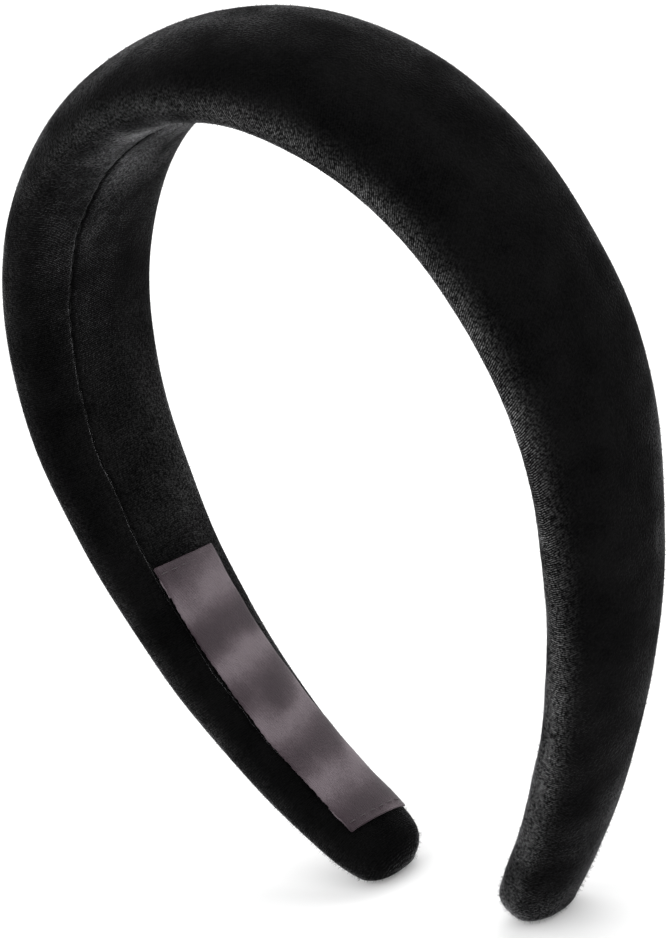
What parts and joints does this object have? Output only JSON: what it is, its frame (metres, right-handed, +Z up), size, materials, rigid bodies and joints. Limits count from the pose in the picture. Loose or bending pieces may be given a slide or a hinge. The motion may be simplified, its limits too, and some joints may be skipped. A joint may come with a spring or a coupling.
{
  "type": "headband",
  "caption": "Padded velvet headband: a springy arched band with a domed foam crown, rounded tips, a closing seam inside and a woven label near one tip.",
  "frame": {"origin": "on the ground between the two feet, under the crown's middle", "axes": "+X across the head from the labelled arm to the plain arm, +Y across the band's width from front to back, +Z up to the crown"},
  "size_m": [0.1298, 0.038, 0.1628],
  "materials": {
    "velvet": "black short-pile velvet",
    "foam": "soft open-cell foam",
    "wadding": "white polyester wadding",
    "core_plastic": "moulded plastic strip",
    "tape": "double-sided tissue tape",
    "black_thread": "black polyester thread",
    "label_satin": "mauve-grey woven satin",
    "label_thread": "fine thread matching the label"
  },
  "bodies": {
    "left_half": {"cover_left": "velvet", "foam_pad_left": "foam", "wadding_left": "wadding", "core_left": "core_plastic", "tape_left": "tape", "seam_thread_left": "black_thread", "label": "label_satin", "label_thread": "label_thread"},
    "right_half": {"cover_right": "velvet", "foam_pad_right": "foam", "wadding_right": "wadding", "core_right": "core_plastic", "tape_right": "tape", "seam_thread_right": "black_thread"}
  },
  "joints": [
    {"name": "crown_flex", "type": "hinge", "parent": "left_half", "child": "right_half", "pos_m": [0, 0, 0.1629], "axis": [0, -1, 0], "range_deg": [0, 25], "stiffness_Nm_per_rad": 0.8}
  ]
}
